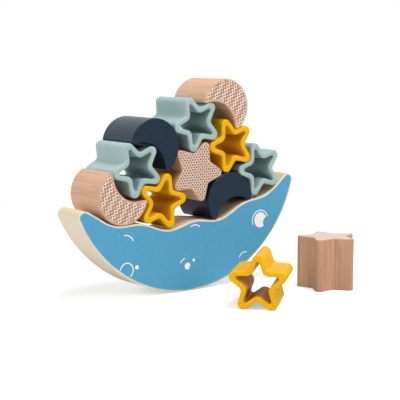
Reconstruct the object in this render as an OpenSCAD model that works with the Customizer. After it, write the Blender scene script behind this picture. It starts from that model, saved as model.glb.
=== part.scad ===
// Stacking balance game: a crescent-shaped rocker board, twelve blocks to pile
// on it, and the pile as it stands, with two of the blocks on the table.
// Millimetres, +Z up. The board's front face lies on the plane Y = 0, the
// depth runs towards +Y, and the origin is where its rolling edge meets the
// table. Every block is an outline in X and Z with the same depth in Y.

/* [Rocker board] */
// Radius of the rolling edge
board_radius = 107; // [90:0.5:130]
// Thickness of the plywood
board_depth = 30; // [20:0.5:40]
// Height of the top edge at its lowest, before the waves
board_waist = 51.0; // [40:0.1:60]
// Radius of the hollow of the top edge
hollow_radius = 204; // [170:1:260]
// How far left of the middle the hollow is deepest
hollow_shift = 12.5; // [5:0.1:20]
// Height of the waves above and below the hollow
wave_height = 2.2; // [1:0.1:4]
// Length of one wave
wave_length = 48.4; // [42:0.1:56]
// Radius of the two tips
board_tip_radius = 5; // [3:0.1:7]

/* [Blocks] */
// Depth of every block
block_depth = 40; // [30:0.5:50]
// Gap left between blocks that rest on each other
rest_gap = 0.1; // [0.1:0.05:0.3]

/* [Crescents] */
// Radius of the back of a crescent
crescent_radius = 21.4; // [19:0.1:24]
// Radius of its hollow side
crescent_hollow_radius = 20.8; // [19:0.1:24]
// Distance between the centres of the two circles
crescent_shift = 20.2; // [18:0.1:22]
// Radius of its two horns
horn_radius = 2; // [1.2:0.1:3]

/* [Soft stars] */
// From the centre to the end of a point
soft_reach = 21.4; // [19:0.1:24]
// From the centre to the bottom of a notch
soft_notch = 12.9; // [12:0.1:15]
// Radius of the points
soft_tip_radius = 4.2; // [3.4:0.1:5]
// Radius of the notches
soft_notch_radius = 3.3; // [1.5:0.1:5]
// Thickness of the walls
soft_wall = 4.2; // [3:0.1:5]

/* [Wooden stars] */
// From the centre to the end of a point
wood_reach = 23.4; // [21:0.1:26]
// From the centre to the bottom of a notch
wood_notch = 14.3; // [13:0.1:16]
// Radius of the points
wood_tip_radius = 3.4; // [2.5:0.1:5]
// Radius of the notches
wood_notch_radius = 2.4; // [1.5:0.1:5]

/* [Printed face] */
// Bare margin round the blue field
print_margin = 1.3; // [0.8:0.1:3]
// Thickness of the colour let into the face
print_depth = 0.4; // [0.3:0.05:0.8]
// Width of the thin white lines
line_width = 0.8; // [0.6:0.05:1.5]

/* [Turn of each block] */
// Direction that the left wooden crescent opens to
low_crescent_turn = 53.0; // [40:0.5:70]
// Direction that the left navy crescent opens to
upper_navy_turn = 236.0; // [225:0.5:250]
// Direction that the right navy crescent opens to
lower_navy_turn = 290.5; // [275:0.5:295]
// Direction that the top crescent opens to
top_crescent_turn = 235.5; // [225:0.5:250]
// Direction of one point of the left yellow star
left_yellow_turn = 4.6; // [-5:0.1:8]
// Direction of one point of the right yellow star
right_yellow_turn = 37.5; // [28:0.1:42]
// Direction of one point of the left sage star
left_sage_turn = 45.0; // [38:0.1:52]
// Direction of one point of the top sage star
top_sage_turn = 42.5; // [35:0.1:50]
// Direction of one point of the right sage star
right_sage_turn = 36.3; // [28:0.1:42]
// Direction of one point of the wooden star in the pile
middle_star_turn = 66.1; // [60:0.1:72]

/* [Blocks on the table] */
// Where the front of the loose yellow star stands, from the origin
loose_yellow_at = [-1.3, -81.7];
// How far its front is turned from the board's front
loose_yellow_yaw = -48.5; // [-70:0.5:-20]
// Where the loose wooden star stands, from the origin
loose_wood_at = [95, -51.4];
// Direction of one of its points
loose_wood_turn = 65.6; // [0:0.1:72]

/* [Hidden] */
// Steps used to follow an arc when blocks are set against each other
arc_steps = 5;
long_arc_steps = 26;
profile_steps = 76;
far = 400;
eps = 0.01;
// rounding circles are this much larger, so that they cross the sides cleanly
weld = 0.02;
$fn = 96;

// ---- plane geometry -------------------------------------------------------

function along(a) = [cos(a), sin(a)];
function cross_of(a, b) = a.x * b.y - a.y * b.x;
function angle_of(v) = atan2(v.y, v.x);
function turned(p, a) = [p.x * cos(a) - p.y * sin(a), p.x * sin(a) + p.y * cos(a)];
function arc(c, r, from, to, n) = [for (i = [0:n]) c + r * along(from + (to - from) * i / n)];

// ---- outline of the board -------------------------------------------------

function top_height(x) = board_waist + hollow_radius
    - sqrt(pow(hollow_radius, 2) - pow(x + hollow_shift, 2))
    + wave_height * cos(360 * (x - wave_length / 10) / wave_length);
function top_slope(x) = (top_height(x + eps) - top_height(x - eps)) / (2 * eps);
function top_normal(x) = [-top_slope(x), 1] / norm([top_slope(x), 1]);
function top_point(x, inset = 0) = [x, top_height(x)] - inset * top_normal(x);
// centre of a tip circle that touches the top edge at x
function tip_centre(x) = top_point(x, board_tip_radius);
// how far that circle still is from the rolling edge
function tip_room(x) = board_radius - board_tip_radius - norm(tip_centre(x) - [0, board_radius]);
function tip_place(inner, outer, n = 24) = let (mid = (inner + outer) / 2)
    n == 0 ? mid
    : tip_room(mid) > 0 ? tip_place(mid, outer, n - 1)
    : tip_place(inner, mid, n - 1);

tip_left = tip_place(-board_radius / 2, -board_radius);
tip_right = tip_place(board_radius / 2, board_radius);
top_edge = [for (i = [0:profile_steps]) top_point(tip_left + (tip_right - tip_left) * i / profile_steps)];

// the board's outline, drawn in by inset all round
module board_outline(inset = 0) {
    centre = [0, board_radius];
    left = tip_centre(tip_left);
    right = tip_centre(tip_right);
    edge = [for (i = [0:profile_steps])
            top_point(tip_left + (tip_right - tip_left) * i / profile_steps, inset)];
    intersection() {
        translate(centre) circle(r = board_radius - inset, $fn = 240);
        polygon(concat(edge,
                       [right, centre + 1.3 * (right - centre), [board_radius, -board_radius],
                        [-board_radius, -board_radius], centre + 1.3 * (left - centre), left]));
    }
    for (tip = [left, right])
        translate(tip) circle(r = board_tip_radius - inset + weld);
}

// ---- outlines of the blocks ------------------------------------------------

// a star is [point centre, point radius, notch centre, notch radius, side turn]
function star(reach, tip_r, notch, notch_r) = let (
        tip = [reach - tip_r, 0],
        dip = (notch + notch_r) * along(36),
        turn = angle_of(dip - tip) - acos((tip_r + notch_r) / norm(dip - tip)))
    [tip, tip_r, dip, notch_r, turn];

soft_star = star(soft_reach, soft_tip_radius, soft_notch, soft_notch_radius);
soft_hole = star(soft_reach - 1.25 * soft_wall, soft_tip_radius / 3, soft_notch - soft_wall,
                 soft_notch_radius + soft_wall / 2);
wood_star = star(wood_reach, wood_tip_radius, wood_notch, wood_notch_radius);

// an arc whose chords run outside it, for a round that bulges outwards
function arc_round(c, r, from, to, n) = arc(c, r / cos((to - from) / n / 2), from, to, n);

// points round a star, against the clock
function star_points(s, n = arc_steps) = [for (k = [0:4])
    each [for (p = concat(arc_round(s[0], s[1], -s[4], s[4], n),
                          arc(s[2], s[3], 180 + s[4], 252 - s[4], n)))
          turned(p, 72 * k)]];

module star_outline(s) {
    corners = [for (k = [0:4])
               each [for (p = [s[0] + s[1] * along(-s[4]), s[0] + s[1] * along(s[4]),
                               s[2] - s[3] * along(s[4]), s[2] - s[3] * along(72 - s[4])])
                     turned(p, 72 * k)]];
    difference() {
        union() {
            polygon(corners);
            for (k = [0:4])
                rotate(72 * k) translate(s[0]) circle(r = s[1] + weld);
        }
        for (k = [0:4])
            rotate(72 * k) translate(s[2]) circle(r = s[3] + weld);
    }
}

// a crescent opens towards +X, with its back round the origin
horn_x = (pow(crescent_radius - horn_radius, 2) - pow(crescent_hollow_radius + horn_radius, 2)
          + pow(crescent_shift, 2)) / (2 * crescent_shift);
horn = [horn_x, sqrt(pow(crescent_radius - horn_radius, 2) - pow(horn_x, 2))];
horn_low = [horn.x, -horn.y];
hollow_centre = [crescent_shift, 0];
back_turn = angle_of(horn);
hollow_turn = angle_of([crescent_shift - horn.x, horn.y]);

crescent_points = concat(
    arc_round([0, 0], crescent_radius, back_turn, 360 - back_turn, long_arc_steps),
    arc_round(horn_low, horn_radius, -back_turn, hollow_turn, arc_steps),
    arc(hollow_centre, crescent_hollow_radius, 180 + hollow_turn, 180 - hollow_turn, long_arc_steps),
    arc_round(horn, horn_radius, -hollow_turn, back_turn, arc_steps));

module crescent_outline() {
    difference() {
        intersection() {
            circle(r = crescent_radius);
            polygon([horn, 2 * horn, [-far, far], [-far, -far], 2 * horn_low, horn_low, hollow_centre]);
        }
        translate(hollow_centre) circle(r = crescent_hollow_radius);
    }
    translate(horn) circle(r = horn_radius + weld);
    translate(horn_low) circle(r = horn_radius + weld);
}

// ---- the pile ----------------------------------------------------------------
// A place is [x, z, turn]. Each block starts clear above its place and slides in
// until it is stopped by what lies there: it falls, leans to a side, falls, and
// most settle a little further down a slope.

function put(points, place) = [for (p = points) turned(p, place[2]) + [place[0], place[1]]];

// the sides of an outline that face something coming along d, between two lines
function facing_sides(outline, d, low, high) = let (n = len(outline))
    [for (j = [0:n - 1]) let (a = outline[j], side = outline[(j + 1) % n] - a,
                              k = cross_of(d, side), at = cross_of(a, d))
     if (k < -1e-6 && min(at, at - k) < high && max(at, at - k) > low) [a, side, k, at]];

// how far the points can move along d before they meet the outline from outside
function free_run(points, outline, d) = let (
        across = [for (p = points) cross_of(p, d)],
        edges = [for (p = outline) cross_of(p, d)],
        low = max(min(across), min(edges)),
        high = min(max(across), max(edges)),
        sides = facing_sides(outline, d, low, high))
    min([far, for (i = [0:len(points) - 1], s = sides)
         let (share = (s[3] - across[i]) / s[2])
         if (share >= 0 && share <= 1)
         let (t = cross_of(s[0] - points[i], s[1]) / s[2])
         if (t > -0.5) t]);

function run_to(moving, still, d) = min(free_run(moving, still, d), free_run(still, moving, -d));

// a block falls as far as it can, but leans only on what is near
function slid(points, place, others, way) = let (
        d = along(way),
        run = min([for (o = others) run_to(put(points, place), o, d)]) - rest_gap)
    way != down && run > crescent_radius ? place
    : [place[0] + run * d.x, place[1] + run * d.y, place[2]];

function settled(points, place, others, ways, i = 0) = i == len(ways) ? place
    : settled(points, slid(points, place, others, ways[i]), others, ways, i + 1);

soft_points = star_points(soft_star);
wood_points = star_points(wood_star);
lift = 1.5 * soft_reach;
down = -90;
left = 180;
right = 0;
up_left = 160;
down_left = -120;
down_right = -60;
bed = concat([[tip_right, 0]], [for (i = [profile_steps:-1:0]) top_edge[i]], [[tip_left, 0]]);

// the wave's troughs that blocks lie in
first_trough = wave_length / 10 - 1.5 * wave_length;
third_trough = wave_length / 10 + wave_length / 2;

low_crescent = settled(crescent_points,
    [first_trough + 0.4 * crescent_radius, board_waist + 2 * lift, low_crescent_turn],
    [bed], [down]);
low_crescent_set = put(crescent_points, low_crescent);

left_yellow = settled(soft_points,
    [low_crescent[0] + crescent_radius + soft_reach, low_crescent[1] + lift, left_yellow_turn],
    [bed, low_crescent_set], [down, up_left, down, down_right]);
left_yellow_set = put(soft_points, left_yellow);

lower_navy = settled(crescent_points,
    [third_trough + 0.45 * crescent_radius, board_waist + 2 * lift, lower_navy_turn],
    [bed], [down, right, down]);
lower_navy_set = put(crescent_points, lower_navy);

left_sage = settled(soft_points,
    [low_crescent[0] + crescent_shift * cos(low_crescent_turn), low_crescent[1] + 2 * lift, left_sage_turn],
    [low_crescent_set, left_yellow_set], [down, right, down, down_left]);
left_sage_set = put(soft_points, left_sage);

middle_star = settled(wood_points,
    [(left_yellow[0] + lower_navy[0]) / 2, lower_navy[1] + 2 * lift, middle_star_turn],
    [left_yellow_set, lower_navy_set], [down, right, down, down_left]);
middle_star_set = put(wood_points, middle_star);

right_sage = settled(soft_points,
    [lower_navy[0] + 0.8 * crescent_radius + soft_notch, lower_navy[1] + 2 * lift, right_sage_turn],
    [bed, lower_navy_set], [down, left, down, down_right]);
right_sage_set = put(soft_points, right_sage);

upper_navy = settled(crescent_points,
    [left_sage[0] + 0.7 * crescent_radius, left_sage[1] + 2 * lift, upper_navy_turn],
    [left_sage_set, left_yellow_set, middle_star_set], [down, right, down]);
upper_navy_set = put(crescent_points, upper_navy);

right_yellow = settled(soft_points,
    [(middle_star[0] + right_sage[0]) / 2, lower_navy[1] + 3 * lift, right_yellow_turn],
    [lower_navy_set, right_sage_set, middle_star_set], [down, right, down, down_left]);
right_yellow_set = put(soft_points, right_yellow);

top_sage = settled(soft_points,
    [middle_star[0], middle_star[1] + 3 * lift, top_sage_turn],
    [middle_star_set, right_yellow_set, upper_navy_set], [down, right, down, down_left]);
top_sage_set = put(soft_points, top_sage);

top_crescent = settled(crescent_points,
    [right_yellow[0] - 0.3 * soft_reach, right_yellow[1] + 3 * lift, top_crescent_turn],
    [top_sage_set, right_yellow_set], [down, right, down, down_left]);

// ---- solids --------------------------------------------------------------------

// an outline in X and Z given a depth towards +Y
module deep(depth, from = 0) {
    translate([0, from + depth, 0]) rotate([90, 0, 0]) linear_extrude(height = depth) children();
}

module at_place(place) {
    translate([place[0], 0, place[1]]) rotate([0, -place[2], 0]) children();
}

module rocker_board() {
    color("#e8d8ba")
    difference() {
        deep(board_depth) board_outline();
        deep(print_depth + 1, -1) board_outline(print_margin);
    }
}

// a spot on the face, by its angle round the rolling centre and its way in from
// the rolling edge, so that the marks follow the board
function spot(angle, inset) = [0, board_radius] + (board_radius - inset) * along(angle);

module arc_line(centre, r, from, to) {
    translate(centre)
    difference() {
        circle(r = r + line_width / 2);
        circle(r = r - line_width / 2);
        polygon(concat([[0, 0]], arc([0, 0], 3 * r, to, from + 360, 8)));
    }
}

// a disc with a bite out of its right side
module moon(centre, r, bite, bite_r) {
    translate(centre)
    difference() {
        circle(r = r);
        translate(bite) circle(r = bite_r);
    }
}

// moons, arcs and dots scattered over the blue
module marks() {
    arc_line(spot(-131.5, 18.7), 7.7, 22, 96);
    arc_line(spot(-85.7, 43.5), 6.9, 46, 125);
    arc_line(spot(-124.1, 4.7), 5.6, -55, 175);
    translate(spot(-120.2, 10.8)) circle(r = 1.6);
    arc_line(spot(-92.2, 19.6), 6.1, 100, 153);
    moon(spot(-91.4, 19.4), 2.7, [3.9, -2], 2.4);
    translate(spot(-87.5, 23.4)) circle(r = 1.2);
    arc_line(spot(-58.6, 3.1), 6.2, 70, 158);
    arc_line(spot(-40.1, 15.9), 8.1, 18, 200);
    moon(spot(-39.9, 16.1), 6.1, [7, -2.2], 4.1);
}

// the marks, cut off where they would come too near the rim of the blue
module printed_marks() {
    intersection() {
        board_outline(print_margin + line_width);
        marks();
    }
}

module blue_field() {
    color("#5aa5cd")
    deep(print_depth)
    difference() {
        board_outline(print_margin);
        printed_marks();
    }
}

module white_marks() {
    color("#f4f6f4") deep(print_depth) printed_marks();
}

module crescent_block(place) {
    at_place(place) deep(block_depth) crescent_outline();
}

module soft_star_block(place) {
    at_place(place)
    difference() {
        deep(block_depth) star_outline(soft_star);
        deep(block_depth + 2, -1) star_outline(soft_hole);
    }
}

module wood_star_block(place) {
    at_place(place) deep(block_depth) star_outline(wood_star);
}

module beech_crescent_low() {
    color("#deb496") crescent_block(low_crescent);
}

module yellow_star_left() {
    color("#f8b80a") soft_star_block(left_yellow);
}

module navy_crescent_lower() {
    color("#26364a") crescent_block(lower_navy);
}

module sage_star_left() {
    color("#aac3c1") soft_star_block(left_sage);
}

module beech_star_middle() {
    color("#deb496") wood_star_block(middle_star);
}

module sage_star_right() {
    color("#aac3c1") soft_star_block(right_sage);
}

module navy_crescent_upper() {
    color("#26364a") crescent_block(upper_navy);
}

module yellow_star_right() {
    color("#f8b80a") soft_star_block(right_yellow);
}

module sage_star_top() {
    color("#aac3c1") soft_star_block(top_sage);
}

module beech_crescent_top() {
    color("#deb496") crescent_block(top_crescent);
}

// stands on two of its points, turned from the board
module yellow_star_loose() {
    feet = (soft_reach - soft_tip_radius) * cos(36) + soft_tip_radius;
    color("#f8b80a")
    translate([loose_yellow_at.x, loose_yellow_at.y, 0]) rotate([0, 0, loose_yellow_yaw])
    soft_star_block([0, feet, 90]);
}

// stands on its back, with its print upwards
module beech_star_loose() {
    color("#deb496")
    translate([loose_wood_at.x, loose_wood_at.y, 0]) rotate([0, 0, loose_wood_turn])
    linear_extrude(height = block_depth) star_outline(wood_star);
}

rocker_board();
blue_field();
white_marks();
beech_crescent_low();
yellow_star_left();
navy_crescent_lower();
sage_star_left();
beech_star_middle();
sage_star_right();
navy_crescent_upper();
yellow_star_right();
sage_star_top();
beech_crescent_top();
yellow_star_loose();
beech_star_loose();
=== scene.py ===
import math

import bmesh
import bpy
from mathutils import Matrix, Vector


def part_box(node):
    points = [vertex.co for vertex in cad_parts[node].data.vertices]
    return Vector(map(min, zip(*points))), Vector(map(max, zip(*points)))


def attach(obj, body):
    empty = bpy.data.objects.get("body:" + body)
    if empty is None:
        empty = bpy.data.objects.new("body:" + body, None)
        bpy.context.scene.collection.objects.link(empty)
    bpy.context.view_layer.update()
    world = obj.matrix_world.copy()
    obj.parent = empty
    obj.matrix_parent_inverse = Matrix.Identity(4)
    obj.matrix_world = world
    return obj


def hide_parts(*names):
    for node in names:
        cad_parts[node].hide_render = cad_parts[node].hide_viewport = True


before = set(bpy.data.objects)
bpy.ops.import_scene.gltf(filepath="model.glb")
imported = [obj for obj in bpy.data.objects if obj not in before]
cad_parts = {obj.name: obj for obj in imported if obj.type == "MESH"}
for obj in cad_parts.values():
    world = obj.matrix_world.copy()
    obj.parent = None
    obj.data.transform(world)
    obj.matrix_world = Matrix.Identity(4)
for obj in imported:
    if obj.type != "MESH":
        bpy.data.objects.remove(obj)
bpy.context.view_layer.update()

# ---- Camera, table and studio light -----------------------------------------
# The set was photographed from its front left and from a little above, on a
# white table that fades into a white background, under large soft lamps.

photo_size = 400
camera_focal = 1105.2
camera_place = (-0.4924, -0.6684, 0.1786)
camera_down = math.radians(7.45)
camera_turn = math.radians(36.91)

camera_data = bpy.data.cameras.new("photo_camera")
camera_data.sensor_fit = "HORIZONTAL"
camera_data.sensor_width = 36
camera_data.lens = camera_data.sensor_width * camera_focal / photo_size
camera_data.clip_start = 0.01
camera_data.clip_end = 20
camera = bpy.data.objects.new("photo_camera", camera_data)
camera.location = camera_place
camera.rotation_euler = (math.pi / 2 - camera_down, 0, -camera_turn)
bpy.context.scene.collection.objects.link(camera)
bpy.context.scene.camera = camera
bpy.context.scene.view_settings.view_transform = "Standard"


def add_node(owner, kind, inputs=(), **settings):
    """A shader node with its settings, and its sockets set or linked by name or number."""
    node = owner.node_tree.nodes.new(kind)
    for name, value in settings.items():
        setattr(node, name, value)
    for name, value in dict(inputs).items():
        if isinstance(value, bpy.types.NodeSocket):
            owner.node_tree.links.new(value, node.inputs[name])
        else:
            node.inputs[name].default_value = value
    return node


def calculate(owner, operation, *values, clamp=False):
    """The result of a Math node, from numbers or sockets."""
    node = add_node(owner, "ShaderNodeMath", enumerate(values),
                    operation=operation, use_clamp=clamp)
    return node.outputs[0]


def link(owner, socket, target):
    owner.node_tree.links.new(socket, target)


def new_material(name):
    material = bpy.data.materials.new(name)
    material.use_nodes = True
    return material, material.node_tree.nodes["Principled BSDF"]


pure_white = (1, 1, 1, 1)
bright_side = (-0.50, 0.78, 0.38)
dim_wall = 0.09
bright_wall = 0.43
mirror_gain = 1.8

world = bpy.data.worlds.new("white_studio")
bpy.context.scene.world = world
world.use_nodes = True
sky = world.node_tree.nodes["Background"]
sky.inputs["Color"].default_value = pure_white
# the walls behind and to the left are brighter than those in front
direction = add_node(world, "ShaderNodeTexCoord").outputs["Generated"]
facing = add_node(world, "ShaderNodeVectorMath", {0: direction, 1: bright_side},
                  operation="DOT_PRODUCT")
wall = add_node(world, "ShaderNodeMapRange",
                {"Value": facing.outputs["Value"], "From Min": -0.7, "From Max": 0.9,
                 "To Min": dim_wall, "To Max": bright_wall})
# gloss mirrors the white walls, which are brighter than their light on the set
ray = add_node(world, "ShaderNodeLightPath")
gain = calculate(world, "MULTIPLY_ADD", ray.outputs["Is Glossy Ray"], mirror_gain, 1.0)
mirrored = calculate(world, "MULTIPLY", wall.outputs[0], gain)
seen = calculate(world, "MAXIMUM", mirrored, ray.outputs["Is Camera Ray"])
link(world, seen, sky.inputs["Strength"])


def soft_lamp(name, place, aim, size, watts):
    """A square soft box that looks at a point."""
    lamp = bpy.data.lights.new(name, "AREA")
    lamp.shape = "SQUARE"
    lamp.size = size
    lamp.energy = watts
    holder = bpy.data.objects.new(name, lamp)
    holder.location = place
    holder.rotation_euler = (Vector(aim) - Vector(place)).to_track_quat("-Z", "Y").to_euler()
    bpy.context.scene.collection.objects.link(holder)


soft_lamp("overhead_lamp", (0.16, -0.30, 1.15), (0, 0, 0.08), 0.5, 10.4)
soft_lamp("left_lamp", (-1.20, 0.05, 0.42), (0, 0, 0.05), 0.7, 7.0)
soft_lamp("front_lamp", (0.42, -1.20, 0.62), (0, 0, 0.08), 0.6, 7.4)

table_half = 4
table_glow = 0.47
fade_start = 0.22
fade_end = 0.55

table_mesh = bmesh.new()
bmesh.ops.create_grid(table_mesh, x_segments=1, y_segments=1, size=table_half)
table_data = bpy.data.meshes.new("table_top")
table_mesh.to_mesh(table_data)
table_mesh.free()
table = bpy.data.objects.new("table_top", table_data)
bpy.context.scene.collection.objects.link(table)
table_white, table_shader = new_material("white_table")
table_shader.inputs["Base Color"].default_value = (0.79, 0.80, 0.81, 1)
table_shader.inputs["Roughness"].default_value = 0.9
table_shader.inputs["Specular IOR Level"].default_value = 0
table_shader.inputs["Emission Color"].default_value = pure_white
camera_ray = add_node(table_white, "ShaderNodeLightPath").outputs["Is Camera Ray"]
glow = calculate(table_white, "MULTIPLY", camera_ray, table_glow)
link(table_white, glow, table_shader.inputs["Emission Strength"])
# away from the set the table top fades to the white of the background
place = add_node(table_white, "ShaderNodeTexCoord").outputs["Object"]
reach = add_node(table_white, "ShaderNodeVectorMath", {0: place}, operation="LENGTH")
fade = add_node(table_white, "ShaderNodeMapRange",
                {"Value": reach.outputs["Value"], "From Min": fade_start, "From Max": fade_end},
                interpolation_type="SMOOTHSTEP")
far = calculate(table_white, "MULTIPLY", fade.outputs[0], camera_ray)
background = add_node(table_white, "ShaderNodeEmission", {"Color": pure_white, "Strength": 1.0})
faded = add_node(table_white, "ShaderNodeMixShader",
                 {0: far, 1: table_shader.outputs[0], 2: background.outputs[0]})
link(table_white, faded.outputs[0],
     table_white.node_tree.nodes["Material Output"].inputs["Surface"])
table_data.materials.append(table_white)


# ---- Rocker board -----------------------------------------------------------
# A crescent-shaped board of birch plywood, cut from one sheet and sanded. Its
# underside is a plain arc to roll on, its top a hollow with three waves, and
# its edge shows the plies. The front face has a shallow bed for the print.

board_radius = 0.107
board_depth = 0.030
board_waist = 0.0510
hollow_radius = 0.204
hollow_shift = 0.0125
wave_height = 0.0022
wave_length = 0.0484
wave_start = 0.1
wave_steps = 170
rolling_facet = 0.0016
board_tip = 0.005
print_margin = 0.0013
print_bed = 0.0004
board_ease = 0.0006


def top_height(x):
    hollow = hollow_radius - math.sqrt(hollow_radius ** 2 - (x + hollow_shift) ** 2)
    wave = wave_height * math.cos(2 * math.pi * (x / wave_length - wave_start))
    return board_waist + hollow + wave


def top_point(x, inset=0.0):
    """A point of the top edge, drawn into the board by inset."""
    slope = (top_height(x + 1e-5) - top_height(x - 1e-5)) / 2e-5
    return Vector((x, top_height(x))) - inset * Vector((-slope, 1)).normalized()


def tip_place(side):
    """Where a tip's circle touches both the top edge and the rolling edge."""
    near, out = side * board_radius / 2, side * board_radius
    for _ in range(40):
        middle = (near + out) / 2
        reach = (top_point(middle, board_tip) - Vector((0, board_radius))).length
        near, out = (middle, out) if reach < board_radius - board_tip else (near, middle)
    return middle


def towards(a, b):
    """The angle of the way from one point to another."""
    return math.atan2(b[1] - a[1], b[0] - a[0])


def add_arc(bm, centre, radius, start, stop, facet=0.0006, facet_turn=0.14):
    """Spins a point round centre, from one angle to the other. Gives the arc's two ends."""
    point = bm.verts.new((centre[0] + radius * math.cos(start),
                          centre[1] + radius * math.sin(start), 0))
    sweep = abs(stop - start)
    steps = max(3, round(sweep * radius / facet), round(sweep / facet_turn))
    spun = bmesh.ops.spin(bm, geom=[point], cent=(centre[0], centre[1], 0), axis=(0, 0, 1),
                          angle=stop - start, steps=steps)
    return point, spun["geom_last"][0]


def join_arcs(bm, ends):
    """Joins the arcs of an outline, each to the next and the last to the first."""
    for (_, leaving), (arriving, _) in zip(ends, ends[1:] + ends[:1]):
        bm.edges.new((leaving, arriving))
    bmesh.ops.remove_doubles(bm, verts=bm.verts[:], dist=2e-5)


def pull_back(bm, faces, depth):
    """Extrudes flat faces backwards by depth. The faces themselves stay in front."""
    pulled = bmesh.ops.extrude_face_region(bm, geom=faces, use_keep_orig=True)
    moved = [g for g in pulled["geom"] if isinstance(g, bmesh.types.BMVert)]
    bmesh.ops.translate(bm, verts=moved, vec=(0, 0, -depth))


def give_depth(bm, faces, depth, ease, segments=3):
    """Makes a solid of a flat outline, and rounds its rims. Marks where a round meets a flat."""
    pull_back(bm, faces, depth)
    bmesh.ops.recalc_face_normals(bm, faces=bm.faces[:])
    rims = [e for e in bm.edges if len(e.link_faces) == 2
            and sorted(abs(f.normal.z) > 0.9 for f in e.link_faces) == [False, True]]
    rounds = bmesh.ops.bevel(bm, geom=rims, offset=ease, offset_type="OFFSET",
                             segments=segments, profile=0.5, affect="EDGES", material=-1)
    round_faces = set(rounds["faces"])
    for face in bm.faces:
        face.smooth = True
    for edge in bm.edges:
        if sum(f in round_faces for f in edge.link_faces) == 1:
            edge.smooth = False


def front_face(bm):
    """The large flat face in front of a drawing that has been given its depth."""
    return max(bm.faces, key=lambda f: (f.calc_center_median().z > -1e-5) * f.calc_area())


def turn_by(bm, angle, axis="Z"):
    bmesh.ops.rotate(bm, verts=bm.verts[:], cent=(0, 0, 0),
                     matrix=Matrix.Rotation(angle, 3, axis))


def stand_up(bm):
    """Turns a flat drawing so that its face looks to the front."""
    turn_by(bm, math.pi / 2, "X")


def finish_piece(bm, name, node, materials):
    """Makes the object of a piece, hides the part it stands for and hangs it on the root body."""
    mesh = bpy.data.meshes.new(name)
    bm.to_mesh(mesh)
    bm.free()
    piece = bpy.data.objects.new(name, mesh)
    bpy.context.scene.collection.objects.link(piece)
    for material in materials:
        mesh.materials.append(material)
    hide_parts(node)
    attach(piece, "root")
    return piece


def paint(shade):
    """A colour as a screen shows it, 0 to 255, in the linear values a shader takes."""
    def linear(level):
        level = level / 255
        return level / 12.92 if level <= 0.04045 else ((level + 0.055) / 1.055) ** 2.4
    return (*(linear(level) for level in shade), 1)


def noise(material, place, detail, scale=1.0, stretch=None):
    """Cloudy noise. With stretch it is a grain, finer on one axis than on another."""
    if stretch:
        mapping = add_node(material, "ShaderNodeMapping", {"Vector": place, "Scale": stretch})
        place = mapping.outputs[0]
    return add_node(material, "ShaderNodeTexNoise",
                    {"Vector": place, "Scale": scale, "Detail": detail}).outputs["Fac"]


def two_tones(material, value, stops, shades):
    """Runs from one shade, where value is at the first stop, to another at the second."""
    ramp = add_node(material, "ShaderNodeValToRGB", {"Fac": value})
    for element, stop, shade in zip(ramp.color_ramp.elements, stops, shades):
        element.position = stop
        element.color = paint(shade)
    return ramp.outputs["Color"]


def lay_over(material, share, below, above):
    """Lays one colour over another. Sockets 6 and 7 are the two colours of a Mix node."""
    mix = add_node(material, "ShaderNodeMix", {"Factor": share, 6: below, 7: above},
                   data_type="RGBA")
    return mix.outputs[2]


def set_finish(material, shader, colour, roughness, gloss):
    link(material, colour, shader.inputs["Base Color"])
    shader.inputs["Roughness"].default_value = roughness
    shader.inputs["Specular IOR Level"].default_value = gloss


def set_relief(material, shader, height, strength, depth=0.0002):
    bump = add_node(material, "ShaderNodeBump",
                    {"Height": height, "Strength": strength, "Distance": depth})
    link(material, bump.outputs[0], shader.inputs["Normal"])


veneer_shades = ((212, 197, 173), (228, 217, 198))
ply_pair = 0.0030
ply_drift = 0.0005
ply_cover = 0.72
ply_face = (226, 214, 194)
ply_lines = ((0.44, (228, 217, 197)), (0.48, (180, 157, 128)), (0.52, (209, 192, 165)),
             (0.94, (210, 193, 167)), (0.98, (175, 152, 124)))


def birch_ply(name, plies, warmth=(1, 1, 1)):
    """Birch plywood: pale veneer with faint grain, or the plies seen along its edge."""
    material, shader = new_material(name)

    def warm(shade):
        return [c * w for c, w in zip(shade, warmth)]

    place = add_node(material, "ShaderNodeTexCoord").outputs["Object"]
    grain = noise(material, place, detail=4.0, stretch=(40, 900, 420))
    colour = two_tones(material, grain, (0.3, 0.62), [warm(shade) for shade in veneer_shades])
    if plies:
        # pale and darker plies take turns from front to back, with a dark glue line between
        depth = add_node(material, "ShaderNodeSeparateXYZ", {"Vector": place}).outputs["Y"]
        wander = noise(material, place, detail=2.0, scale=45.0)
        drift = calculate(material, "MULTIPLY", wander, ply_drift)
        across = calculate(material, "ADD", depth, drift)
        share = calculate(material, "FRACT", calculate(material, "DIVIDE", across, ply_pair))
        ramp = add_node(material, "ShaderNodeValToRGB", {"Fac": share})
        stops = ramp.color_ramp.elements
        stops[0].color = stops[1].color = paint(warm(ply_face))
        for stop, shade in ply_lines:
            stops.new(stop).color = paint(warm(shade))
        colour = lay_over(material, ply_cover, colour, ramp.outputs["Color"])
    set_finish(material, shader, colour, 0.62, 0.3)
    set_relief(material, shader, grain, 0.25)
    return material


roll_centre = Vector((0, board_radius))
left_x, right_x = tip_place(-1), tip_place(1)
left_centre, right_centre = top_point(left_x, board_tip), top_point(right_x, board_tip)
rim_left = towards(roll_centre, left_centre) + 2 * math.pi
rim_right = towards(roll_centre, right_centre) + 2 * math.pi
top_left = towards(left_centre, top_point(left_x))
top_right = towards(right_centre, top_point(right_x))

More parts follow.
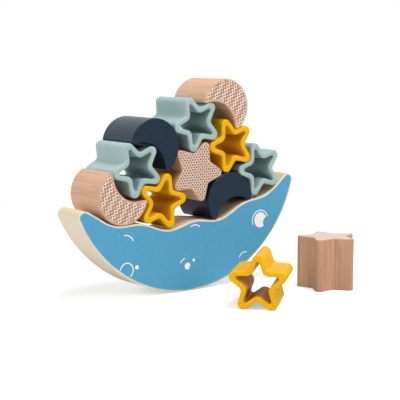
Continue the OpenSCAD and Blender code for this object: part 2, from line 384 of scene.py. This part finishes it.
board = bmesh.new()
rolling_edge = add_arc(board, roll_centre, board_radius, rim_left, rim_right, rolling_facet)
right_tip = add_arc(board, right_centre, board_tip, rim_right - 2 * math.pi, top_right)
wave = []
for step in range(1, wave_steps):
    along_top = top_point(right_x + (left_x - right_x) * step / wave_steps)
    wave.append(board.verts.new((*along_top, 0)))
for before, after in zip(wave, wave[1:]):
    board.edges.new((before, after))
left_tip = add_arc(board, left_centre, board_tip, top_left, rim_left)
join_arcs(board, [rolling_edge, right_tip, (wave[0], wave[-1]), left_tip])
board_face = bmesh.ops.contextual_create(board, geom=board.edges[:])["faces"]
give_depth(board, board_face, board_depth, board_ease)
front = front_face(board)
bmesh.ops.inset_region(board, faces=[front], thickness=print_margin - board_ease,
                       use_even_offset=True)
pull_back(board, [front], print_bed)
bmesh.ops.delete(board, geom=[front], context="FACES_ONLY")

veneer, edge_plies, hollow_plies_painted_shade, bare_margin = range(4)
for face in board.faces:
    if abs(face.normal.z) > 0.9:
        in_front = face.calc_center_median().z > -board_depth / 2
        face.material_index = bare_margin if in_front else veneer
    else:
        # faces looking up are the hollow top: their plies get a darker, warmer tint, which is
        # painted shade and painted bounce light from the blocks above
        face.material_index = hollow_plies_painted_shade if face.normal.y > 0.3 else edge_plies
stand_up(board)
finish_piece(board, "plywood_rocker_board", "rocker_board",
             [birch_ply("birch_veneer", False), birch_ply("birch_plies", True),
              # the hollow's darker, warmer tint is painted shade and painted bounce light from the
              # blocks on it
              birch_ply("birch_hollow_painted_shade", True, (0.985, 0.955, 0.905)),
              birch_ply("birch_margin", False, (0.95, 0.99, 1.06))])


# ---- Printed night sky ------------------------------------------------------
# The front of the board is printed with a field of sky blue that stops short of
# the edge. Small white moons, arcs and dots are scattered over it.

def print_ink(name, shade, speck):
    """Flat printing ink, with the faintest cloud in its colour."""
    material, shader = new_material(name)
    place = add_node(material, "ShaderNodeTexCoord").outputs["Object"]
    cloud = noise(material, place, detail=3.0, scale=260.0)
    colour = two_tones(material, cloud, (0.35, 0.65), ([c - speck for c in shade], shade))
    set_finish(material, shader, colour, 0.5, 0.3)
    return material


for node, ink in (("blue_field", print_ink("sky_blue_ink", (80, 158, 195), 3)),
                  ("white_marks", print_ink("white_ink", (243, 240, 238), 2))):
    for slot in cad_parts[node].material_slots:
        slot.material = ink


# ---- Crescent blocks --------------------------------------------------------
# Four crescents cut from a thick plank, with rounded horns. Two are bare beech
# with a white lattice printed on the front, and two are painted navy all over.

block_depth = 0.040
crescent_radius = 0.0214
crescent_hollow = 0.0208
crescent_shift = 0.0202
horn_radius = 0.0020
horn_facet = 0.0003
wood_ease = 0.0006
lattice_margin = 0.0009

# a horn's circle touches the back from inside and the hollow from outside
horn_reach = crescent_radius - horn_radius
horn_x = (horn_reach ** 2 - (crescent_hollow + horn_radius) ** 2
          + crescent_shift ** 2) / (2 * crescent_shift)
horn = Vector((horn_x, math.sqrt(horn_reach ** 2 - horn_x ** 2)))


def crescent_block():
    """A crescent that lies with its back round the origin, open to the right."""
    bm = bmesh.new()
    back = towards((0, 0), horn)
    inner = math.atan2(horn.y, crescent_shift - horn.x)
    low_horn = (horn.x, -horn.y)
    join_arcs(bm, [
        add_arc(bm, (0, 0), crescent_radius, back, 2 * math.pi - back),
        add_arc(bm, low_horn, horn_radius, -back, inner, horn_facet),
        add_arc(bm, (crescent_shift, 0), crescent_hollow, math.pi + inner, math.pi - inner),
        add_arc(bm, horn, horn_radius, -inner, back, horn_facet)])
    faces = bmesh.ops.contextual_create(bm, geom=bm.edges[:])["faces"]
    give_depth(bm, faces, block_depth, wood_ease)
    return bm


def move_to_node(bm, node):
    """Moves a piece so that its box has the same middle as its node's. Gives the move."""
    low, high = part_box(node)
    middle = [(min(v.co[i] for v in bm.verts) + max(v.co[i] for v in bm.verts)) / 2
              for i in range(3)]
    shift = Vector([(low[i] + high[i]) / 2 - middle[i] for i in range(3)])
    bmesh.ops.translate(bm, verts=bm.verts[:], vec=shift)
    return shift


def set_in_pile(bm, node, turn):
    """Turns a flat block, stands it up and moves it to where its node lies."""
    turn_by(bm, turn)
    stand_up(bm)
    return move_to_node(bm, node)


def mark_printed_end(bm, margin):
    """Insets the flat front and gives it the second material."""
    front = front_face(bm)
    bmesh.ops.inset_region(bm, faces=[front], thickness=margin, use_even_offset=True)
    front.material_index = 1


beech_shades = ((192, 151, 123), (212, 174, 146))
printed_beech_shades = ((163, 118, 89), (182, 138, 109))
fleck_brown = (177, 129, 99)
print_white = (236, 222, 211)
print_brown = (86, 58, 46)


def beech_colour(material, along, shades):
    """Steamed beech: pinkish tan, with fine streaks and short dark flecks along the grain."""
    place = add_node(material, "ShaderNodeTexCoord").outputs["Object"]
    streaks = [620.0, 620.0, 620.0]
    streaks[along] = 22.0
    flecks = [1500.0, 1500.0, 1500.0]
    flecks[along] = 190.0
    grain = noise(material, place, detail=3.0, stretch=streaks)
    tone = two_tones(material, grain, (0.28, 0.68), shades)
    pores = noise(material, place, detail=1.0, stretch=flecks)
    where = add_node(material, "ShaderNodeMapRange",
                     {"Value": pores, "From Min": 0.64, "From Max": 0.76, "To Max": 0.4})
    return place, lay_over(material, where.outputs[0], tone, paint(fleck_brown)), grain


def beech(name, along=1, shades=beech_shades):
    """Bare sanded beech, with its grain along one axis."""
    material, shader = new_material(name)
    _, colour, grain = beech_colour(material, along, shades)
    set_finish(material, shader, colour, 0.58, 0.2)
    set_relief(material, shader, grain, 0.3)
    return material


def printed_beech(name, centre, turn, pattern, along=1, shades=printed_beech_shades):
    """Beech with a glossy white pattern printed on it, laid out round the block's centre."""
    material, shader = new_material(name)
    place, colour, grain = beech_colour(material, along, shades)
    faces_up = along == 2
    centred = add_node(material, "ShaderNodeVectorMath", {0: place, 1: centre},
                       operation="SUBTRACT")
    turned = add_node(material, "ShaderNodeVectorRotate",
                      {"Vector": centred.outputs[0],
                       "Rotation": (0, 0, -turn) if faces_up else (0, turn, 0)},
                      rotation_type="EULER_XYZ")
    split = add_node(material, "ShaderNodeSeparateXYZ", {"Vector": turned.outputs[0]})
    white, dark = pattern(material, split.outputs["X"], split.outputs["Y" if faces_up else "Z"])
    dotted = lay_over(material, dark, colour, paint(print_brown))
    inked = lay_over(material, white, dotted, paint(print_white))
    set_finish(material, shader, inked, 0.25, 0.5)
    set_relief(material, shader, grain, 0.3)
    return material


def nearest(material, value, start, step):
    """How far a value is from the nearest of the places start, start + step, start + 2 steps."""
    moved = calculate(material, "SUBTRACT", value, start)
    return calculate(material, "PINGPONG", moved, step / 2)


def band(material, value, low, high, soft):
    """1 between low and high, fading to 0 over soft."""
    rise = add_node(material, "ShaderNodeMapRange",
                    {"Value": value, "From Min": low - soft, "From Max": low + soft})
    fall = add_node(material, "ShaderNodeMapRange",
                    {"Value": value, "From Min": high + soft, "From Max": high - soft})
    return calculate(material, "MINIMUM", rise.outputs[0], fall.outputs[0])


diamond_step = 0.00378
diamond_row = 0.00615
lattice_turn = math.radians(57.4)


def diamond_share(material, across, up, start, half):
    """0 in the middle of the nearest diamond, and 1 on its sides."""
    along_row = nearest(material, across, start[0], diamond_step)
    off_row = nearest(material, up, start[1], diamond_row)
    corner = calculate(material, "MULTIPLY", along_row, 1 / half[0])
    return calculate(material, "MULTIPLY_ADD", off_row, 1 / half[1], corner)


def linked_diamonds(material, across, up):
    """Rows of white diamonds, corner to corner, with a dark dot in each, and small ones between."""
    large = diamond_share(material, across, up, (0.00245, 0.00035), (0.00189, 0.00225))
    small = diamond_share(material, across, up, (0.00434, 0.00342), (0.0011, 0.0009))
    ring = band(material, large, 0.52, 1.04, 0.08)
    between = band(material, small, -1.0, 0.9, 0.15)
    white = calculate(material, "MULTIPLY_ADD", between, 0.7, ring, clamp=True)
    return white, band(material, large, -1.0, 0.28, 0.06)


def navy_paint():
    """Satin navy paint on wood, thin enough for a trace of the grain."""
    material, shader = new_material("navy_paint")
    place = add_node(material, "ShaderNodeTexCoord").outputs["Object"]
    grain = noise(material, place, detail=3.0, stretch=(500, 30, 500))
    colour = two_tones(material, grain, (0.3, 0.7), ((8, 32, 51), (13, 40, 60)))
    set_finish(material, shader, colour, 0.32, 0.27)
    set_relief(material, shader, grain, 0.5)
    return material


bare_beech = beech("bare_beech")
navy = navy_paint()

for node, name, turn in (("beech_crescent_low", "low_beech_crescent", 53),
                         ("beech_crescent_top", "top_beech_crescent", 235.5)):
    block = crescent_block()
    mark_printed_end(block, lattice_margin)
    centre = set_in_pile(block, node, math.radians(turn))
    lattice = printed_beech(name + "_print", centre, lattice_turn, linked_diamonds)
    finish_piece(block, name, node, [bare_beech, lattice])

for node, name, turn in (("navy_crescent_upper", "upper_navy_crescent", 236),
                         ("navy_crescent_lower", "lower_navy_crescent", 290.5)):
    block = crescent_block()
    set_in_pile(block, node, math.radians(turn))
    finish_piece(block, name, node, [navy])


# ---- Hollow silicone stars --------------------------------------------------
# Five-pointed tubes moulded in soft silicone, three in sage and three in mustard
# yellow. Walls are even and a little thicker at the points, with rounded rims.

star_step = math.radians(72)
soft_reach = 0.0214
soft_notch = 0.0129
soft_tip = 0.0042
soft_dip = 0.0033
soft_wall = 0.0042
soft_ease = 0.0010


def star_arcs(bm, reach, tip, notch, dip, facet=0.0004):
    """Draws a star flat, with one point to the right, as arcs round its points and notches."""
    tip_centre = Vector((reach - tip, 0))
    dip_centre = (notch + dip) * Vector((math.cos(star_step / 2), math.sin(star_step / 2)))
    apart = dip_centre - tip_centre
    side = math.atan2(apart.y, apart.x) - math.acos((tip + dip) / apart.length)
    opening = star_step - 2 * side
    ends = []
    for point in range(5):
        turn = star_step * point
        point_centre = Matrix.Rotation(turn, 2) @ tip_centre
        notch_centre = Matrix.Rotation(turn, 2) @ dip_centre
        leaving = turn + math.pi + side
        ends.append(add_arc(bm, point_centre, tip, turn - side, turn + side, facet))
        ends.append(add_arc(bm, notch_centre, dip, leaving, leaving + opening, facet))
    return ends


def soft_star():
    """A tube: the ring between an outer star and an inner one, given its depth."""
    bm = bmesh.new()
    outer = star_arcs(bm, soft_reach, soft_tip, soft_notch, soft_dip)
    inner = star_arcs(bm, soft_reach - 1.25 * soft_wall, soft_tip / 3,
                      soft_notch - soft_wall, soft_dip + soft_wall / 2)
    join_arcs(bm, outer)
    join_arcs(bm, inner)
    filled = bmesh.ops.triangle_fill(bm, use_beauty=True, use_dissolve=False,
                                     edges=bm.edges[:])["geom"]
    faces = [g for g in filled if isinstance(g, bmesh.types.BMFace)]
    give_depth(bm, faces, block_depth, soft_ease, segments=4)
    return bm


def silicone(name, shades):
    """Moulded silicone: satin, a little translucent, with the finest trace of the mould."""
    material, shader = new_material(name)
    place = add_node(material, "ShaderNodeTexCoord").outputs["Object"]
    cloud = noise(material, place, detail=2.0, scale=60.0)
    set_finish(material, shader, two_tones(material, cloud, (0.3, 0.7), shades), 0.42, 0.12)
    shader.inputs["Subsurface Weight"].default_value = 0.06
    shader.inputs["Subsurface Radius"].default_value = (1.0, 0.9, 0.7)
    shader.inputs["Subsurface Scale"].default_value = 0.0015
    mould = noise(material, place, detail=1.0, scale=2200.0)
    set_relief(material, shader, mould, 0.08, 0.0001)
    return material


mustard = silicone("mustard_silicone", ((227, 169, 2), (231, 176, 3)))
sage = silicone("sage_silicone", ((156, 179, 178), (162, 185, 184)))

for node, turn, slot_name, rubber in (("yellow_star_left", 4.6, "yellow_silicone", mustard),
                                      ("yellow_star_right", 37.5, "yellow_silicone", mustard),
                                      ("sage_star_left", 45, "sage_silicone", sage),
                                      ("sage_star_top", 42.5, "sage_silicone", sage),
                                      ("sage_star_right", 36.3, "sage_silicone", sage)):
    block = soft_star()
    set_in_pile(block, node, math.radians(turn))
    finish_piece(block, "soft_" + node, node, [rubber])


# ---- Wooden stars -----------------------------------------------------------
# Two solid stars of beech, a little larger than the soft ones, with a finer
# lattice printed on one end.

wood_reach = 0.0234
wood_notch = 0.0143
wood_tip = 0.0034
wood_dip = 0.0024
star_margin = 0.0003
dot_step = 0.00383
dot_row = 0.0074
dot_edge = 0.00014


def wood_star():
    """A solid star with its front marked as the printed end."""
    bm = bmesh.new()
    join_arcs(bm, star_arcs(bm, wood_reach, wood_tip, wood_notch, wood_dip))
    faces = bmesh.ops.contextual_create(bm, geom=bm.edges[:])["faces"]
    give_depth(bm, faces, block_depth, wood_ease)
    mark_printed_end(bm, star_margin)
    return bm


def ringed_dots(material, across, up):
    """Dark dots in white rings, each row set half a step from the next."""
    reaches = []
    for start_x, start_y in ((-0.0006, 0.00077), (0.00132, 0.00447)):
        offset = add_node(material, "ShaderNodeCombineXYZ",
                          {"X": nearest(material, across, start_x, dot_step),
                           "Y": nearest(material, up, start_y, dot_row)})
        length = add_node(material, "ShaderNodeVectorMath", {0: offset.outputs[0]},
                          operation="LENGTH")
        reaches.append(length.outputs["Value"])
    from_dot = calculate(material, "MINIMUM", *reaches)
    ring = band(material, from_dot, 0.00096, 0.00152, dot_edge)
    return ring, band(material, from_dot, -1.0, 0.00066, dot_edge)


block = wood_star()
centre = set_in_pile(block, "beech_star_middle", math.radians(66.1))
dots = printed_beech("middle_star_print", centre, math.radians(90), ringed_dots)
finish_piece(block, "middle_beech_star", "beech_star_middle", [bare_beech, dots])


# ---- Blocks on the table ----------------------------------------------------
# One yellow star stands on two of its points in front of the board, turned away
# from it, and one wooden star stands on its plain end with its print upwards.

soft_yaw = math.radians(-48.5)
wood_turn = math.radians(65.6)
print_turn = wood_turn + math.radians(24)
# the upright star's bare beech is darker than the pile's: partly browner wood, partly painted shade
# for the weaker light on its sides
upright_shaded_beech_tones = ((177, 131, 101), (201, 158, 128))
# its print's ground is paler than on the middle star: a painted sheen for the gloss its top shows
# at a grazing angle
upright_print_sheen_tones = ((188, 160, 142), (203, 179, 163))

block = soft_star()
turn_by(block, math.pi / 2)
stand_up(block)
turn_by(block, soft_yaw)
move_to_node(block, "yellow_star_loose")
finish_piece(block, "soft_yellow_star_loose", "yellow_star_loose", [mustard])

block = wood_star()
turn_by(block, wood_turn)
centre = move_to_node(block, "beech_star_loose")
# darker beech on this star: partly browner wood, partly painted shade
upright_beech_painted_shade = beech("upright_beech_painted_shade", 2, upright_shaded_beech_tones)
dots = printed_beech("loose_star_print_painted_sheen", centre, print_turn, ringed_dots, 2,
                     upright_print_sheen_tones)
finish_piece(block, "loose_beech_star", "beech_star_loose", [upright_beech_painted_shade, dots])
